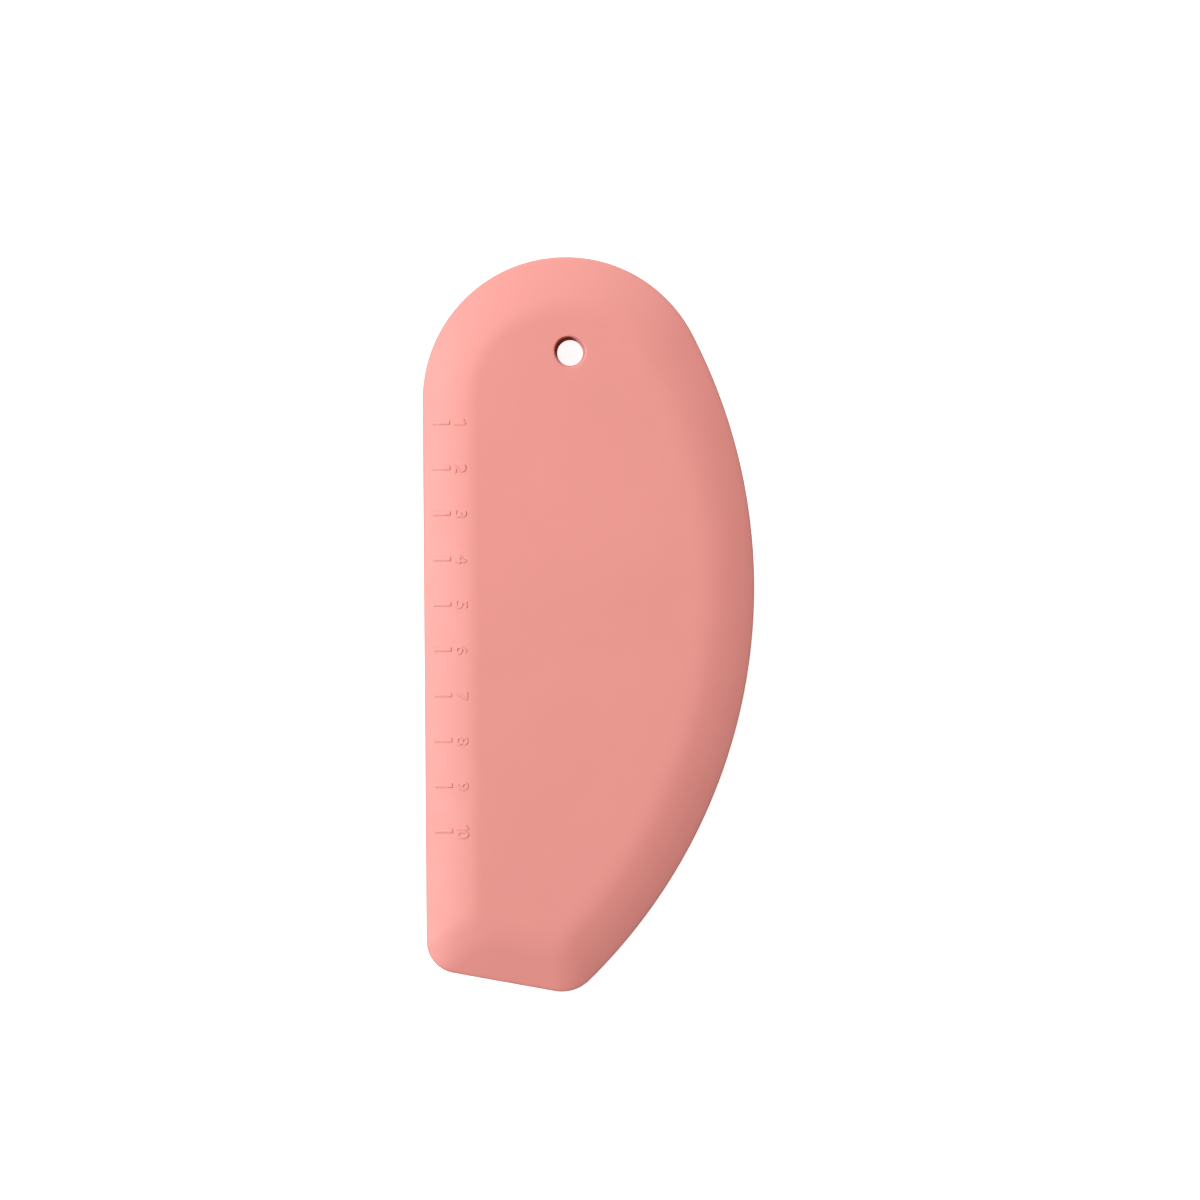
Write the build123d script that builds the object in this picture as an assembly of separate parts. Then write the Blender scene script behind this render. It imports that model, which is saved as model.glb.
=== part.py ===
from build123d import *
import os
from math import atan, atan2, cos, degrees, pi, radians, sin, sqrt

# A silicone bowl scraper that lies flat: +Z up through its thickness, the straight scale edge on -X,
# the curved scraping edge on +X, the round head with the hanging hole towards +Y and the foot on -Y.
# The origin is under the middle of the outline, on the surface that the scraper lies on.
# Everything is drawn about the middle plane of the blade and lifted at the end.

# Outline of the blade
blade_length = 162.2
blade_width = 72.95
belly_bulge = 9.8
foot_width = 38.6
toe_radius = 8.8
heel_radius = 7.2
foot_angle = 10.6

# Thick middle and the bevels round it
body_thickness = 7.4
edge_thickness = 1.7
bevel_width = 11.0
crease_round = 20.0
crease_corner_radius = 2.5

# Hanging hole
hole_radius = 2.75
hole_from_top = 21.0
hole_from_straight_edge = 32.6
hole_rim_round = 0.7

# Raised centimetre scale on the straight bevel
scale_pitch = 10.0
scale_count = 10
scale_from_top = 36.4
mark_from_edge = 2.1
mark_length = 3.95
mark_width = 1.05
mark_height = 0.2

# Stiffening core inside the silicone
core_thickness = 2.0
core_inset = 8.0
core_corner_radius = 4.0
core_gap_round_hole = 3.0
key_hole_radius = 4.0
key_hole_pitch = 20.0

# The bevel falls along a parabola with this part of its fall straight, down to a rounded rim
straight_fall_share = 0.5
rim_round_share = 0.3
bevel_section_shares = (0.0, 0.2, 0.4, 0.6, 0.8, 1.0)
rim_section_shares = (0.0, 0.5, 1.0)

# Reach of every cut past the solid that it cuts
overrun = 5.0

half_thickness = body_thickness / 2
bevel_drop = (body_thickness - edge_thickness) / 2
rim_slope = atan((2 - straight_fall_share) * bevel_drop / bevel_width)
rim_round = edge_thickness * rim_round_share
edge_x = -blade_width / 2
top_y = blade_length / 2

# The head is a round that touches the straight edge and the top, and the belly stands out past it
head_radius = (blade_width - belly_bulge) / 2
head_centre = Vector(edge_x + head_radius, top_y - head_radius)
toe_centre = Vector(edge_x + foot_width - toe_radius, toe_radius - top_y)

# The belly is the one arc that touches the head, the toe and the far side of the blade
span = head_centre.Y - toe_centre.Y
foot_step = blade_width - foot_width
joint_span = span**2 + belly_bulge * (foot_width - 2 * toe_radius)
belly_rise = joint_span / (span + sqrt(span**2 - (1 - belly_bulge / foot_step) * joint_span))
belly_radius = (blade_width + (span - belly_rise) ** 2 / belly_bulge) / 2
belly_centre = Vector(blade_width / 2 - belly_radius, toe_centre.Y + belly_rise)

# The foot is a straight line along one direction, and the blade lies on the inward side of it
foot_along = Vector(cos(radians(foot_angle)), -sin(radians(foot_angle)))
foot_inward = Vector(sin(radians(foot_angle)), cos(radians(foot_angle)))
foot_level = toe_centre.dot(foot_inward) - toe_radius

hole_x = edge_x + hole_from_straight_edge
hole_y = top_y - hole_from_top


def level_outline(inset, toe_r, heel_r):
    """Six tangent edges that run a distance inside the blade's outline, as one closed wire."""
    left = edge_x + inset
    head_r = head_radius - inset
    belly_r = belly_radius - inset
    # Toe circle that touches the belly arc and the foot
    toe_level = foot_level + inset + toe_r
    toe_slide = sqrt((belly_r - toe_r) ** 2 - (toe_level - belly_centre.dot(foot_inward)) ** 2)
    toe = foot_along * (belly_centre.dot(foot_along) + toe_slide) + foot_inward * toe_level
    # Heel circle that touches the foot and the straight edge
    heel_x = left + heel_r
    heel_level = foot_level + inset + heel_r
    heel = Vector(heel_x, (heel_level - foot_inward.X * heel_x) / foot_inward.Y)

    foot_turn = 270 - foot_angle
    toe_turn = 360 + direction_of(toe - belly_centre)
    head_turn = 360 + direction_of(head_centre - belly_centre)
    return Wire(
        [
            Edge.make_line(Vector(left, head_centre.Y), Vector(left, heel.Y)),
            CenterArc(heel, heel_r, 180, foot_turn - 180),
            Edge.make_line(heel - foot_inward * heel_r, toe - foot_inward * toe_r),
            CenterArc(toe, toe_r, foot_turn, toe_turn - foot_turn),
            CenterArc(belly_centre, belly_r, toe_turn, head_turn - toe_turn),
            CenterArc(head_centre, head_r, head_turn, 540 - head_turn),
        ]
    )


def direction_of(vector):
    """Angle of a vector in the plan, in degrees from +X."""
    return degrees(atan2(vector.Y, vector.X))


def level_section(inset, height):
    """Face inside the outline at one height, with corners that tighten towards the flat middle."""
    grow = 1 - inset / bevel_width
    toe_r = crease_corner_radius + grow * (toe_radius - crease_corner_radius)
    heel_r = crease_corner_radius + grow * (heel_radius - crease_corner_radius)
    return Pos(0, 0, height) * Face(level_outline(inset, toe_r, heel_r))


def bevel_height(inset):
    """Height of the bevel above the middle plane, a distance inside the outline."""
    share = 1 - inset / bevel_width
    return half_thickness - bevel_drop * (straight_fall_share * share + (1 - straight_fall_share) * share**2)


def upper_dome():
    """The bevels of the upper side, from the rounded rim up to the flat middle."""
    rim_inset = rim_round * (1 - sin(rim_slope))
    insets = [rim_inset + share * (bevel_width - rim_inset) for share in bevel_section_shares]
    return loft([level_section(inset, bevel_height(inset)) for inset in insets])


def rounded_rim(wall_top):
    """The rim that rounds from the upright wall of the edge over to the bevel."""
    turns = [rim_slope + share * (pi / 2 - rim_slope) for share in rim_section_shares]
    insets = [rim_round * (1 - sin(turn)) for turn in turns]
    heights = [wall_top + rim_round * cos(turn) for turn in turns]
    return loft([level_section(inset, height) for inset, height in zip(insets, heights)])


def bevelled_blade():
    """The solid blade: a dome and a rim on each side of a thin wall, with soft creases."""
    wall_top = bevel_height(rim_round * (1 - sin(rim_slope))) - rim_round * cos(rim_slope)
    wall = extrude(level_section(0, 0), wall_top, both=True)
    upper = upper_dome() + rounded_rim(wall_top)
    blade = upper + wall + mirror(upper, Plane.XY)
    creases = [edge for face in blade.faces().filter_by(Axis.Z) for edge in face.outer_wire().edges()]
    return fillet(creases, crease_round)


def cut_hanging_hole(blade):
    """Bore the hanging hole through the head and round both of its rims."""
    depth = body_thickness + 2 * overrun
    bored = blade - Pos(hole_x, hole_y) * Cylinder(hole_radius, depth)
    rim_wires = [wire for face in bored.faces().filter_by(Axis.Z) for wire in face.inner_wires()]
    rims = [edge for wire in rim_wires for edge in wire.edges()]
    return fillet(rims, hole_rim_round)


def scale_marks():
    """Raised bars, one a centimetre, as many as the straight edge has room for."""
    lowest_y = foot_level / foot_inward.Y + heel_radius
    mark_x = edge_x + mark_from_edge + mark_length / 2
    bars = []
    for number in range(scale_count):
        mark_y = top_y - scale_from_top - number * scale_pitch
        if mark_y > lowest_y:
            bar = Box(mark_length, mark_width, body_thickness, align=(Align.CENTER, Align.CENTER, Align.MIN))
            bars.append(Pos(mark_x, mark_y) * bar)
    return Compound(bars) & Pos(0, 0, mark_height) * upper_dome()


def stiffening_core():
    """Flat plate inside the thick middle, with a row of holes that key the silicone to it."""
    outline = Face(level_outline(core_inset, core_corner_radius, core_corner_radius))
    plate = extrude(outline, core_thickness / 2, both=True)
    depth = core_thickness + 2 * overrun
    plate -= Pos(hole_x, hole_y) * Cylinder(hole_radius + core_gap_round_hole, depth)
    row_length = hole_y - foot_level - core_inset - key_hole_radius
    for number in range(int(row_length / key_hole_pitch)):
        key_y = hole_y - (number + 1) * key_hole_pitch
        plate -= Pos(hole_x, key_y) * Cylinder(key_hole_radius, depth)
    return plate


core = stiffening_core()
body = cut_hanging_hole(bevelled_blade()) + scale_marks() - core

os.makedirs("parts", exist_ok=True)
lift_to_rest = Pos(0, 0, half_thickness)
export_step(lift_to_rest * body, "parts/silicone_body.step")
export_step(lift_to_rest * core, "parts/stiffening_core.step")
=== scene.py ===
from math import atan2, cos, pi, radians, sin, sqrt

import bpy
import numpy as np
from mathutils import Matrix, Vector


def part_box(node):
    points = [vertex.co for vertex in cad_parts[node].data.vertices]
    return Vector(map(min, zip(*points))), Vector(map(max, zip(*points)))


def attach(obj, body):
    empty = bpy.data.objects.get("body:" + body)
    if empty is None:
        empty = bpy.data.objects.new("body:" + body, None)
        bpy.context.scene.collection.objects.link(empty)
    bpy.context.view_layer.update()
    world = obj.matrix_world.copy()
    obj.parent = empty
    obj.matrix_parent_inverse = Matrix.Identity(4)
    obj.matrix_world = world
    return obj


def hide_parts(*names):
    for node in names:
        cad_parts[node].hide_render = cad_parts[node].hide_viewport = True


# A silicone bowl scraper with a raised centimetre scale, seen from straight above.
# Lengths are in metres, in the frame of the CAD model: +Z up through the blade's thickness,
# the straight scale edge on -X, the head with the hanging hole towards +Y.

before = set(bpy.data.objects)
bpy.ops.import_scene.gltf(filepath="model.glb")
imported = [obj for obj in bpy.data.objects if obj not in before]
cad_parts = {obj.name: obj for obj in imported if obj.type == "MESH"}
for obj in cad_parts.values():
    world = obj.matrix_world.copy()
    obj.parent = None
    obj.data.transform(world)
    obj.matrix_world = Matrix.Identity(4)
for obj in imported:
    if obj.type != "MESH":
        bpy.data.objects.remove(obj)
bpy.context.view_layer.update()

MM = 0.001
WHITE = (1, 1, 1, 1)

# Outline of the blade, which fills the CAD body's box
BODY_LOW, BODY_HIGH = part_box("silicone_body")
BLADE_LENGTH = BODY_HIGH.y - BODY_LOW.y
BLADE_WIDTH = BODY_HIGH.x - BODY_LOW.x
BODY_THICKNESS = BODY_HIGH.z - BODY_LOW.z
EDGE_X = BODY_LOW.x
TOP_Y = BODY_HIGH.y
MIDDLE_Z = (BODY_LOW.z + BODY_HIGH.z) / 2
BELLY_BULGE = 9.8 * MM
HEAD_RADIUS = (BLADE_WIDTH - BELLY_BULGE) / 2
FOOT_WIDTH = 38.6 * MM
TOE_RADIUS = 8.8 * MM
HEEL_RADIUS = 7.2 * MM
FOOT_ANGLE = radians(10.6)

# Bevels of the straight edge, the head, the upper and the lower belly, and the foot. Each row has the
# bevel's width and fall, the part of its fall that is straight, and the crease's reach to each side.
BEVEL_SHAPES = np.array(
    [
        [11.1 * MM, 2.85 * MM, 0.42, 1.2 * MM],
        [11.1 * MM, 2.4 * MM, 0.8, 2.2 * MM],
        [11.2 * MM, 2.6 * MM, 0.2, 2.2 * MM],
        [11.2 * MM, 3.0 * MM, 0.4, 2.2 * MM],
        [10.5 * MM, 2.2 * MM, 1.0, 4.0 * MM],
    ]
)

# The way that the edge faces at each of them, and how sharply one shape gives way to the next
BEVEL_BEARINGS = np.radians([180, 65, 15, -35, -100.6])
BEVEL_SPREAD = 4

# Soft crease between the bevels and the flat middle, and the rounded rim
CREASE_DEPTH = 11.0 * MM
CREASE_REACH = 4.9 * MM
TOE_CREASE_RADIUS = 4.0 * MM
HEEL_CREASE_RADIUS = 6.0 * MM
RIM_ROUND = 0.6 * MM

# Steps along each stretch of the outline
STRAIGHT_EDGE_STEPS = 60
HEEL_STEPS = 20
FOOT_STEPS = 16
TOE_STEPS = 28
BELLY_STEPS = 96
HEAD_STEPS = 80

# Rings across the crease, the bevel and the rims of the edge and the hole
CREASE_RINGS = 28
BEVEL_RINGS = 10
RIM_RINGS = 8
HOLE_RIM_RINGS = 9

# Places of the rings across the flat middle, from the rim of the hole to the crease
FLAT_SHARES = (0.03, 0.2, 0.4, 0.6, 0.8, 0.97)

# Hanging hole, a little wider on the upper side
HOLE_RADIUS = 2.85 * MM
HOLE_TOP_RADIUS = 3.2 * MM
HOLE_FROM_TOP = 21.05 * MM
HOLE_FROM_STRAIGHT_EDGE = 32.65 * MM
HOLE_RIM_ROUND = 0.5 * MM

# Painted shade on the hole's shaded side: a darker colour with no sheen, which fades out between two
# distances from a shifted centre
PAINTED_SHADE_SHIFT = (-0.6 * MM, 0.55 * MM)
PAINTED_SHADE_REACH = (2.72 * MM, 3.1 * MM)

# Raised scale on the straight bevel: a bar and a number each centimetre, sunk a little into the bevel
SCALE_PITCH = 10.0 * MM
SCALE_COUNT = 10
SCALE_FROM_TOP = 36.4 * MM
SUNK = 0.15 * MM

# Bars of the scale, with a rounded top
MARK_FROM_EDGE = 2.1 * MM
MARK_LENGTH = 3.95 * MM
MARK_WIDTH = 1.05 * MM
MARK_HEIGHT = 0.2 * MM
MARK_ROUND_SHARE = 0.12
MARK_ROUND_TURNS = (30, 60, 90)
MARK_CORNER_STEPS = 3

# Numbers of the scale, of which those with one digit are a little stretched. The font's digits are
# a share of its size high.
DIGIT_FROM_EDGE = 8.25 * MM
DIGIT_FROM_MARK = 0.2 * MM
DIGIT_HEIGHT = 2.6 * MM
DIGIT_STRETCH = 1.15
DIGIT_PITCH = 1.3 * MM
DIGIT_RELIEF = 0.2 * MM
DIGIT_ROUND = 0.03 * MM
DIGIT_ROUND_STEPS = 2
DIGIT_CURVE_STEPS = 6
FONT_HEIGHT_SHARE = 0.73

# Outline of the numeral one as shares of its height: a stem with a long slanting flag
ONE_SHARES = (
    (0, -0.5),
    (0.11, -0.5),
    (0.11, 0.5),
    (0.03, 0.5),
    (-0.32, 0.33),
    (-0.28, 0.22),
    (0, 0.36),
)

# Silicone, with the two tones of its clouding and the colour of the painted shade on the hole's shaded
# side
SILICONE_TONES = ((0.815, 0.262, 0.224, 1), (0.840, 0.274, 0.235, 1))
SILICONE_TONE_ENDS = (0.3, 0.7)
SILICONE_PAINTED_SHADE = (0.36, 0.085, 0.045, 1)
SILICONE_ROUGHNESS = (0.58, 0.66)
SILICONE_IOR = 1.6

# Nylon of the hidden core
NYLON_TONES = ((0.78, 0.76, 0.7, 1), (0.86, 0.84, 0.78, 1))
NYLON_ROUGHNESS = 0.48

# White floor
FLOOR_REACH = 4.0
FLOOR_COLOUR = (0.8, 0.8, 0.8, 1)
FLOOR_ROUGHNESS = 0.9
FLOOR_SPECULAR = 0.1
FLOOR_GLOW = 0.88

# Camera straight above, turned by the tilt that the object has in the photograph. The view has its
# width at the level of the scale's marks.
CAMERA_HEIGHT = 1.29
CAMERA_CENTRE = (2.39 * MM, 5.31 * MM)
CAMERA_TURN = radians(-0.428)
VIEW_WIDTH = 264.55 * MM
MARKS_LEVEL = 6.2 * MM

# A soft lamp on the left, a weaker one above the head, and an even sky
KEY = {"azimuth": 176, "elevation": 46, "level": 0.80}
SIDE = {"azimuth": 90, "elevation": 38, "level": 0.44}
LAMP_DISTANCE = 1.6
LAMP_SIZE = 0.45
SKY_LEVEL = 0.16


def arc(centre, radius, start, end, steps):
    """Points along a round stretch of the outline, without its last one."""
    turns = np.linspace(start, end, steps, endpoint=False)
    return centre + radius * np.stack([np.cos(turns), np.sin(turns)], axis=1)


def straight(start, end, steps):
    """Points along a straight stretch of the outline, without its last one."""
    shares = np.linspace(0, 1, steps, endpoint=False)[:, None]
    return start + shares * (end - start)


def belly_circle():
    """Centre and radius of the one arc that touches the head, the toe and the blade's far side."""
    span = BLADE_LENGTH - HEAD_RADIUS - TOE_RADIUS
    foot_step = BLADE_WIDTH - FOOT_WIDTH
    joint_span = span**2 + BELLY_BULGE * (FOOT_WIDTH - 2 * TOE_RADIUS)
    rise = joint_span / (span + sqrt(span**2 - (1 - BELLY_BULGE / foot_step) * joint_span))
    radius = (BLADE_WIDTH + (span - rise) ** 2 / BELLY_BULGE) / 2
    return np.array([BODY_HIGH.x - radius, BODY_LOW.y + TOE_RADIUS + rise]), radius


def level_outline(inset):
    """Points round the blade at one level, a distance inside its outline."""
    along = np.array([cos(FOOT_ANGLE), -sin(FOOT_ANGLE)])
    inward = np.array([sin(FOOT_ANGLE), cos(FOOT_ANGLE)])
    belly, belly_radius = belly_circle()
    head = np.array([EDGE_X + HEAD_RADIUS, TOP_Y - HEAD_RADIUS])
    true_toe = np.array([EDGE_X + FOOT_WIDTH - TOE_RADIUS, BODY_LOW.y + TOE_RADIUS])
    foot_level = true_toe @ inward - TOE_RADIUS + inset

    grow = max(1 - inset / CREASE_DEPTH, 0)
    toe_radius = TOE_CREASE_RADIUS + grow * (TOE_RADIUS - TOE_CREASE_RADIUS)
    heel_radius = HEEL_CREASE_RADIUS + grow * (HEEL_RADIUS - HEEL_CREASE_RADIUS)
    belly_radius -= inset
    toe_level = foot_level + toe_radius
    toe_slide = sqrt((belly_radius - toe_radius) ** 2 - (toe_level - belly @ inward) ** 2)
    toe = along * (belly @ along + toe_slide) + inward * toe_level
    heel_x = EDGE_X + inset + heel_radius
    heel = np.array([heel_x, (foot_level + heel_radius - inward[0] * heel_x) / inward[1]])

    foot_turn = 1.5 * pi - FOOT_ANGLE
    toe_turn = 2 * pi + atan2(*(toe - belly)[::-1])
    head_turn = 2 * pi + atan2(*(head - belly)[::-1])
    left = EDGE_X + inset
    stretches = [
        straight(np.array([left, head[1]]), np.array([left, heel[1]]), STRAIGHT_EDGE_STEPS),
        arc(heel, heel_radius, pi, foot_turn, HEEL_STEPS),
        straight(heel - inward * heel_radius, toe - inward * toe_radius, FOOT_STEPS),
        arc(toe, toe_radius, foot_turn, toe_turn, TOE_STEPS),
        arc(belly, belly_radius, toe_turn, head_turn, BELLY_STEPS),
        arc(head, HEAD_RADIUS - inset, head_turn, 3 * pi, HEAD_STEPS),
    ]
    return np.concatenate(stretches)


def bevel_shapes(outline):
    """Shape of the bevel at each point of the outline, blended by the way that the edge faces there."""
    along = np.roll(outline, -1, axis=0) - np.roll(outline, 1, axis=0)
    facing = np.arctan2(-along[:, 0], along[:, 1])
    weights = np.maximum(np.cos(facing[:, None] - BEVEL_BEARINGS), 0) ** BEVEL_SPREAD
    return weights @ BEVEL_SHAPES / weights.sum(axis=1)[:, None]


def bevel_height(inset, shape):
    """Height over the middle plane, a distance inside the outline."""
    width, fall, straight_share, reach = shape.T
    beyond = 1 - inset / width
    round_off = np.maximum(reach / width - np.abs(beyond), 0)
    share = np.maximum(beyond, 0) + round_off**2 * width / (4 * reach)
    return BODY_THICKNESS / 2 - fall * share * (straight_share + (1 - straight_share) * share)


def edge_rings():
    """Rings from the flat middle out over the crease, the bevel and the rim to the upright wall."""
    outline = level_outline(0)
    shapes = bevel_shapes(outline)
    inward = (level_outline(RIM_ROUND) - outline) / RIM_ROUND
    insets = np.concatenate(
        [
            np.linspace(CREASE_DEPTH + CREASE_REACH, CREASE_DEPTH - CREASE_REACH, CREASE_RINGS)[:-1],
            np.linspace(CREASE_DEPTH - CREASE_REACH, RIM_ROUND, BEVEL_RINGS)[:-1],
        ]
    )
    rings = [(level_outline(inset), bevel_height(inset, shapes)) for inset in insets]

    rim_slope = np.arctan((bevel_height(RIM_ROUND, shapes) - bevel_height(0, shapes)) / RIM_ROUND)
    rim_inset = RIM_ROUND * (1 - np.sin(rim_slope))
    rim_centre = bevel_height(rim_inset, shapes) - RIM_ROUND * np.cos(rim_slope)
    for share in np.linspace(0, 1, RIM_RINGS):
        turn = rim_slope + share * (pi / 2 - rim_slope)
        inset = RIM_ROUND * (1 - np.sin(turn))
        rings.append((outline + inset[:, None] * inward, rim_centre + RIM_ROUND * np.cos(turn)))
    return rings


def hole_profile(radius):
    """Radii and heights over the middle plane, from the wall of the hanging hole out over its rim."""
    half = BODY_THICKNESS / 2
    turns = np.linspace(0, pi / 2, HOLE_RIM_RINGS)
    return [
        (radius + HOLE_RIM_ROUND * (1 - cos(turn)), half - HOLE_RIM_ROUND * (1 - sin(turn)))
        for turn in turns
    ]


def new_piece(name, vertices, faces):
    """A smooth-shaded mesh object in the scene."""
    mesh = bpy.data.meshes.new(name)
    mesh.from_pydata([tuple(vertex) for vertex in vertices], [], faces)
    mesh.validate()
    mesh.shade_smooth()
    piece = bpy.data.objects.new(name, mesh)
    bpy.context.scene.collection.objects.link(piece)
    return piece


def closed_grid_faces(rows, columns):
    """Outward-facing quads of a grid that closes on itself both ways."""
    return [
        (
            row * columns + column,
            (row + 1) % rows * columns + column,
            (row + 1) % rows * columns + (column + 1) % columns,
            row * columns + (column + 1) % columns,
        )
        for row in range(rows)
        for column in range(columns)
    ]


def silicone_blade():
    """The blade as one closed skin: up the hole, out over the top, round the rim and back below."""
    edge = edge_rings()
    flat_edge, flat_height = edge[0]
    hole = np.array([EDGE_X + HOLE_FROM_STRAIGHT_EDGE, TOP_Y - HOLE_FROM_TOP])
    spokes = flat_edge - hole
    spokes /= np.linalg.norm(spokes, axis=1)[:, None]

    def side(hole_radius):
        """Rings of one side, from the wall of the hole to the wall of the edge."""
        rings = [(hole + spokes * radius, height) for radius, height in hole_profile(hole_radius)]
        rim, level = rings[-1]
        for share in FLAT_SHARES:
            rings.append((rim + share * (flat_edge - rim), level + share * (flat_height - level)))
        return rings + edge

    lower = [(plan, -height) for plan, height in reversed(side(HOLE_RADIUS))]
    rings = side(HOLE_TOP_RADIUS) + lower
    vertices = np.concatenate(
        [np.column_stack([plan, np.full(len(plan), MIDDLE_Z) + height]) for plan, height in rings]
    )
    return new_piece("silicone_blade", vertices, closed_grid_faces(len(rings), len(flat_edge)))


def bevel_top(x):
    """Height of the straight bevel's surface at one place across the blade."""
    return MIDDLE_Z + bevel_height(x - EDGE_X, BEVEL_SHAPES[0])


def mark_y(number):
    """Place of a centimetre mark along the straight edge."""
    return TOP_Y - SCALE_FROM_TOP - (number - 1) * SCALE_PITCH


def scale_bars():
    """Raised bars with a rounded top, laid over the straight bevel."""
    round_over = MARK_WIDTH * MARK_ROUND_SHARE
    rings = [(0, -SUNK), (0, MARK_HEIGHT - round_over)]
    for turn in MARK_ROUND_TURNS:
        rise = round_over * sin(radians(turn))
        rings.append((round_over * (1 - cos(radians(turn))), MARK_HEIGHT - round_over + rise))
    vertices = []
    faces = []
    for number in range(1, SCALE_COUNT + 1):
        for inset, height in rings:
            first = len(vertices)
            for x, y in rounded_rectangle(MARK_LENGTH / 2 - inset, MARK_WIDTH / 2 - inset, round_over):
                x += EDGE_X + MARK_FROM_EDGE + MARK_LENGTH / 2
                vertices.append((x, mark_y(number) + y, bevel_top(x) + height))
            count = len(vertices) - first
            below = first - count
            if height > -SUNK:
                faces += [
                    (below + i, below + (i + 1) % count, first + (i + 1) % count, first + i)
                    for i in range(count)
                ]
            else:
                faces.append(tuple(reversed(range(first, first + count))))
        faces.append(tuple(range(first, first + count)))
    return new_piece("scale_bars", vertices, faces)


def rounded_rectangle(half_length, half_width, radius):
    """Points round a rectangle about the origin, with rounded corners."""
    corners = []
    for quadrant, (side_x, side_y) in enumerate([(1, 1), (-1, 1), (-1, -1), (1, -1)]):
        for step in range(MARK_CORNER_STEPS + 1):
            turn = (quadrant + step / MARK_CORNER_STEPS) * pi / 2
            corners.append(
                (
                    side_x * (half_length - radius) + radius * cos(turn),
                    side_y * (half_width - radius) + radius * sin(turn),
                )
            )
    return corners


def numeral(character):
    """Points and faces of one raised numeral, upright over the origin."""
    if character == "1":
        shape = bpy.data.curves.new("numeral", "CURVE")
        shape.dimensions = "2D"
        shape.fill_mode = "BOTH"
        outline = shape.splines.new("POLY")
        outline.points.add(len(ONE_SHARES) - 1)
        outline.use_cyclic_u = True
        for point, (x, y) in zip(outline.points, ONE_SHARES):
            point.co = (x * DIGIT_HEIGHT, y * DIGIT_HEIGHT, 0, 1)
    else:
        shape = bpy.data.curves.new("numeral", "FONT")
        shape.body = character
        shape.align_x = "CENTER"
        shape.size = DIGIT_HEIGHT / FONT_HEIGHT_SHARE
    shape.resolution_u = DIGIT_CURVE_STEPS
    shape.extrude = (DIGIT_RELIEF + SUNK) / 2
    shape.bevel_depth = DIGIT_ROUND
    shape.bevel_resolution = DIGIT_ROUND_STEPS
    holder = bpy.data.objects.new("numeral", shape)
    bpy.context.scene.collection.objects.link(holder)
    bpy.context.view_layer.update()
    mesh = bpy.data.meshes.new_from_object(holder.evaluated_get(bpy.context.evaluated_depsgraph_get()))
    bpy.data.objects.remove(holder)
    points = np.array([vertex.co for vertex in mesh.vertices])
    low, high = points[:, 1].min(), points[:, 1].max()
    points[:, 1] -= (low + high) / 2
    points[:, :2] *= DIGIT_HEIGHT / (high - low)
    return points, [list(face.vertices) for face in mesh.polygons]


def scale_digit(number):
    """One raised number, turned so that its top points at the middle of the blade, with flat shading."""
    vertices = []
    faces = []
    digits = str(number)
    for place, character in enumerate(digits):
        points, polygons = numeral(character)
        if len(digits) == 1:
            points[:, 0] *= DIGIT_STRETCH
        points[:, 0] += (place - (len(digits) - 1) / 2) * DIGIT_PITCH
        faces += [[len(vertices) + index for index in polygon] for polygon in polygons]
        x = EDGE_X + DIGIT_FROM_EDGE + points[:, 1]
        y = mark_y(number) - DIGIT_FROM_MARK - points[:, 0]
        z = bevel_top(x) + points[:, 2] - points[:, 2].max() + DIGIT_RELIEF
        vertices += list(np.stack([x, y, z], axis=1))
    digit = new_piece(f"scale_digit_{number:02d}", vertices, faces)
    digit.data.shade_flat()
    return digit


def node_material(name):
    """A new node material, with its shader node."""
    material = bpy.data.materials.new(name)
    material.use_nodes = True
    return material, material.node_tree.nodes["Principled BSDF"]


def add_node(material, kind, **values):
    """A node of one kind, with its settings and the values of its inputs."""
    node = material.node_tree.nodes.new(kind)
    for key, value in values.items():
        if key in node.inputs:
            node.inputs[key].default_value = value
        else:
            setattr(node, key, value)
    return node


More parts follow.
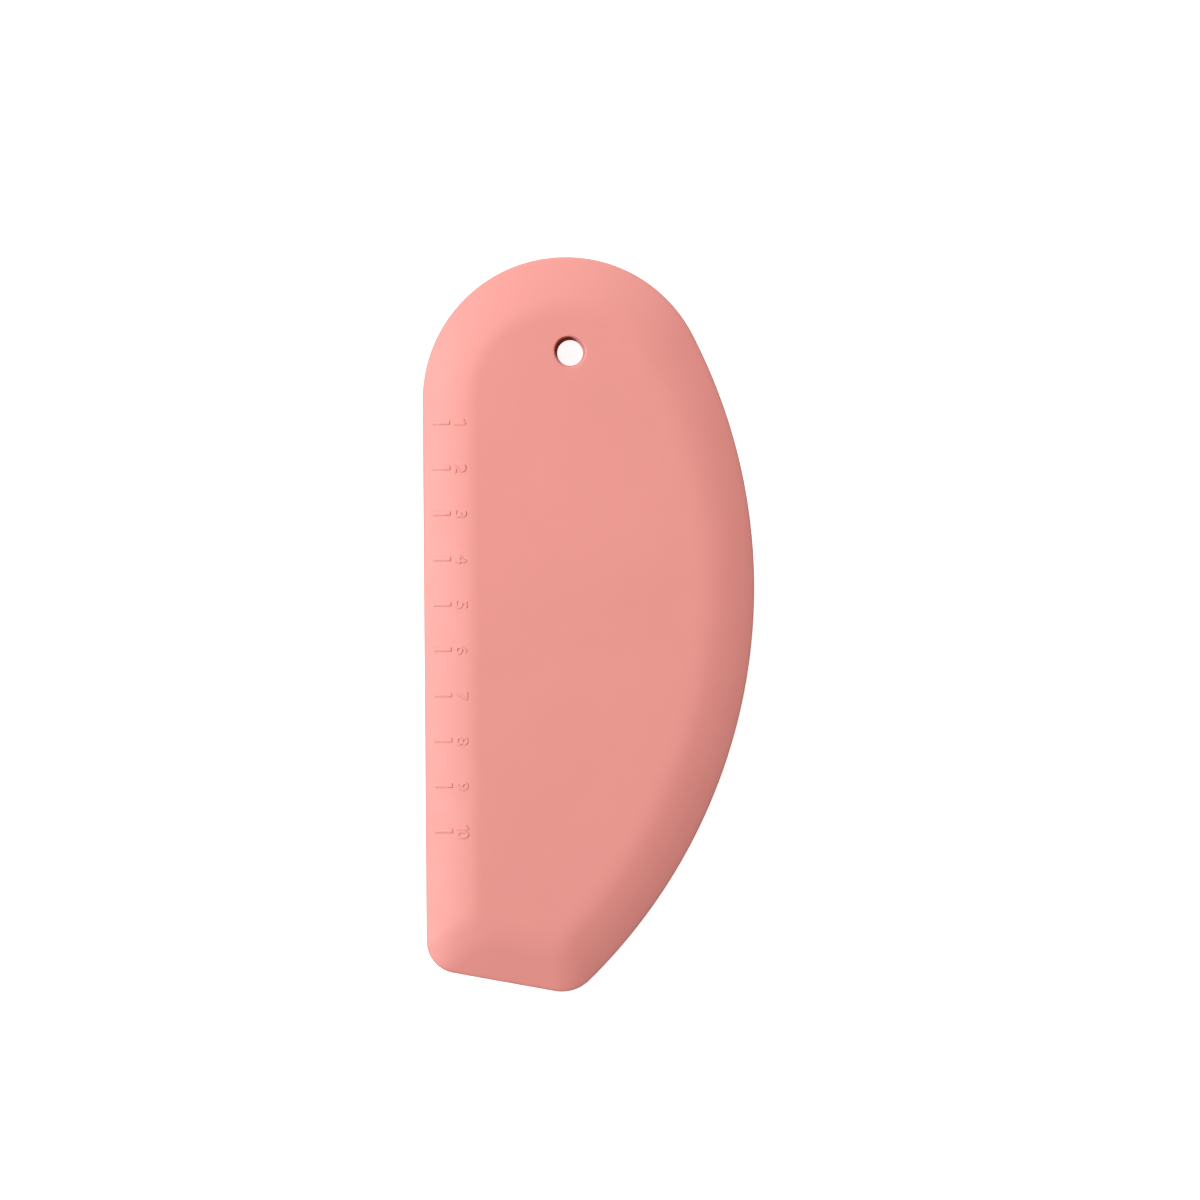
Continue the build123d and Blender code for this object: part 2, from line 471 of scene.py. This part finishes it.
def silicone_material():
    """Matte pink silicone: faint clouding of the colour, fine moulded grain, a soft sheen, and painted
    shade on the hole's shaded side.
    """
    material, shader = node_material("silicone_pink")
    link = material.node_tree.links.new
    place = add_node(material, "ShaderNodeTexCoord")
    clouds = add_node(material, "ShaderNodeTexNoise", Scale=42.0, Detail=3.0, Roughness=0.55)
    tones = add_node(material, "ShaderNodeValToRGB")
    for stop, position, colour in zip(tones.color_ramp.elements, SILICONE_TONE_ENDS, SILICONE_TONES):
        stop.position = position
        stop.color = colour
    link(place.outputs["Object"], clouds.inputs["Vector"])
    link(clouds.outputs["Fac"], tones.inputs["Fac"])

    # Painted shade: near a centre shifted to the upper left of the hole, the colour turns darker and the
    # sheen fades out
    painted_shade_x = EDGE_X + HOLE_FROM_STRAIGHT_EDGE + PAINTED_SHADE_SHIFT[0]
    painted_shade_y = TOP_Y - HOLE_FROM_TOP + PAINTED_SHADE_SHIFT[1]
    plan = add_node(material, "ShaderNodeVectorMath", operation="MULTIPLY")
    plan.inputs[1].default_value = (1, 1, 0)
    reach = add_node(material, "ShaderNodeVectorMath", operation="DISTANCE")
    reach.inputs[1].default_value = (painted_shade_x, painted_shade_y, 0)
    outside_painted_shade = add_node(material, "ShaderNodeMapRange")
    outside_painted_shade.inputs["From Min"].default_value, outside_painted_shade.inputs["From Max"].default_value = PAINTED_SHADE_REACH
    outside_painted_shade.interpolation_type = "SMOOTHSTEP"
    painted_shade = add_node(material, "ShaderNodeMix", data_type="RGBA")
    painted_shade.inputs["A"].default_value = SILICONE_PAINTED_SHADE
    link(place.outputs["Object"], plan.inputs[0])
    link(plan.outputs["Vector"], reach.inputs[0])
    link(reach.outputs["Value"], outside_painted_shade.inputs["Value"])
    link(outside_painted_shade.outputs["Result"], painted_shade.inputs["Factor"])
    link(tones.outputs["Color"], painted_shade.inputs["B"])
    link(painted_shade.outputs["Result"], shader.inputs["Base Color"])

    polish = add_node(material, "ShaderNodeTexNoise", Scale=160.0, Detail=2.0)
    gloss = add_node(material, "ShaderNodeMapRange")
    gloss.inputs["To Min"].default_value, gloss.inputs["To Max"].default_value = SILICONE_ROUGHNESS
    link(place.outputs["Object"], polish.inputs["Vector"])
    link(polish.outputs["Fac"], gloss.inputs["Value"])
    link(gloss.outputs["Result"], shader.inputs["Roughness"])

    grain = add_node(material, "ShaderNodeTexNoise", Scale=5200.0, Detail=2.0, Roughness=0.6)
    bump = add_node(material, "ShaderNodeBump", Strength=0.25, Distance=0.01 * MM)
    link(place.outputs["Object"], grain.inputs["Vector"])
    link(grain.outputs["Fac"], bump.inputs["Height"])
    link(bump.outputs["Normal"], shader.inputs["Normal"])
    shader.inputs["IOR"].default_value = SILICONE_IOR
    shader.inputs["Specular IOR Level"].default_value = 1.0
    # The sheen fades out where the shade is painted
    link(outside_painted_shade.outputs["Result"], shader.inputs["Specular IOR Level"])
    return material


def nylon_material():
    """Natural nylon of the hidden core: off-white, with faint flow marks from moulding."""
    material, shader = node_material("core_nylon")
    link = material.node_tree.links.new
    place = add_node(material, "ShaderNodeTexCoord")
    flow = add_node(material, "ShaderNodeTexNoise", Scale=60.0, Detail=4.0, Distortion=0.6)
    tones = add_node(material, "ShaderNodeValToRGB")
    for stop, colour in zip(tones.color_ramp.elements, NYLON_TONES):
        stop.color = colour
    bump = add_node(material, "ShaderNodeBump", Strength=0.2, Distance=0.02 * MM)
    link(place.outputs["Object"], flow.inputs["Vector"])
    link(flow.outputs["Fac"], tones.inputs["Fac"])
    link(tones.outputs["Color"], shader.inputs["Base Color"])
    link(flow.outputs["Fac"], bump.inputs["Height"])
    link(bump.outputs["Normal"], shader.inputs["Normal"])
    shader.inputs["Roughness"].default_value = NYLON_ROUGHNESS
    return material


def seen_directly(material):
    """1 where a camera, glossy or transmitted ray looks at the surface, and 0 for other light."""
    rays = add_node(material, "ShaderNodeLightPath")
    link = material.node_tree.links.new
    total = rays.outputs["Is Camera Ray"]
    for kind in ("Is Glossy Ray", "Is Transmission Ray"):
        either = add_node(material, "ShaderNodeMath", operation="MAXIMUM")
        link(total, either.inputs[0])
        link(rays.outputs[kind], either.inputs[1])
        total = either.outputs[0]
    return total


def floor():
    """A plain white floor that keeps a faint shadow of the blade."""
    sides = ((-1, -1), (1, -1), (1, 1), (-1, 1))
    corners = [(side_x * FLOOR_REACH, side_y * FLOOR_REACH, 0) for side_x, side_y in sides]
    piece = new_piece("floor", corners, [(0, 1, 2, 3)])
    material, shader = node_material("floor_white")
    shader.inputs["Base Color"].default_value = FLOOR_COLOUR
    shader.inputs["Roughness"].default_value = FLOOR_ROUGHNESS
    shader.inputs["Specular IOR Level"].default_value = FLOOR_SPECULAR
    shader.inputs["Emission Color"].default_value = WHITE
    glow = add_node(material, "ShaderNodeMath", operation="MULTIPLY")
    glow.inputs[1].default_value = FLOOR_GLOW
    material.node_tree.links.new(seen_directly(material), glow.inputs[0])
    material.node_tree.links.new(glow.outputs[0], shader.inputs["Emission Strength"])
    piece.data.materials.append(material)
    return piece


def soft_lamp(name, azimuth, elevation, level):
    """A soft lamp that looks at the blade from one side."""
    lamp = bpy.data.lights.new(name, "AREA")
    lamp.shape = "DISK"
    lamp.size = LAMP_SIZE
    lamp.energy = level * (pi * LAMP_DISTANCE) ** 2
    flat = LAMP_DISTANCE * cos(radians(elevation))
    holder = bpy.data.objects.new(name, lamp)
    holder.location = (
        flat * cos(radians(azimuth)),
        flat * sin(radians(azimuth)),
        LAMP_DISTANCE * sin(radians(elevation)),
    )
    holder.rotation_euler = (-holder.location).to_track_quat("-Z", "Y").to_euler()
    bpy.context.scene.collection.objects.link(holder)


def sky():
    """Even light from all round, and plain white where the camera sees past the floor."""
    world = bpy.data.worlds.new("sky")
    bpy.context.scene.world = world
    world.use_nodes = True
    back = world.node_tree.nodes["Background"]
    back.inputs["Color"].default_value = WHITE
    level = world.node_tree.nodes.new("ShaderNodeMapRange")
    rays = world.node_tree.nodes.new("ShaderNodeLightPath")
    level.inputs["To Min"].default_value = SKY_LEVEL
    level.inputs["To Max"].default_value = 1.0
    world.node_tree.links.new(rays.outputs["Is Camera Ray"], level.inputs["Value"])
    world.node_tree.links.new(level.outputs["Result"], back.inputs["Strength"])


def camera():
    """The camera straight above the blade."""
    view = bpy.data.cameras.new("camera")
    view.lens = view.sensor_width * (CAMERA_HEIGHT - MARKS_LEVEL) / VIEW_WIDTH
    holder = bpy.data.objects.new("camera", view)
    holder.location = (*CAMERA_CENTRE, CAMERA_HEIGHT)
    holder.rotation_euler = (0, 0, CAMERA_TURN)
    bpy.context.scene.collection.objects.link(holder)
    bpy.context.scene.camera = holder


silicone = silicone_material()
silicone_pieces = [silicone_blade(), scale_bars()]
silicone_pieces += [scale_digit(number) for number in range(1, SCALE_COUNT + 1)]
for piece in silicone_pieces:
    piece.data.materials.clear()
    piece.data.materials.append(silicone)
    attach(piece, "root")
    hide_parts("silicone_body")

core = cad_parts["stiffening_core"]
core.data.materials.clear()
core.data.materials.append(nylon_material())

floor()
soft_lamp("key", **KEY)
soft_lamp("side", **SIDE)
sky()
camera()
bpy.context.scene.view_settings.view_transform = "Standard"
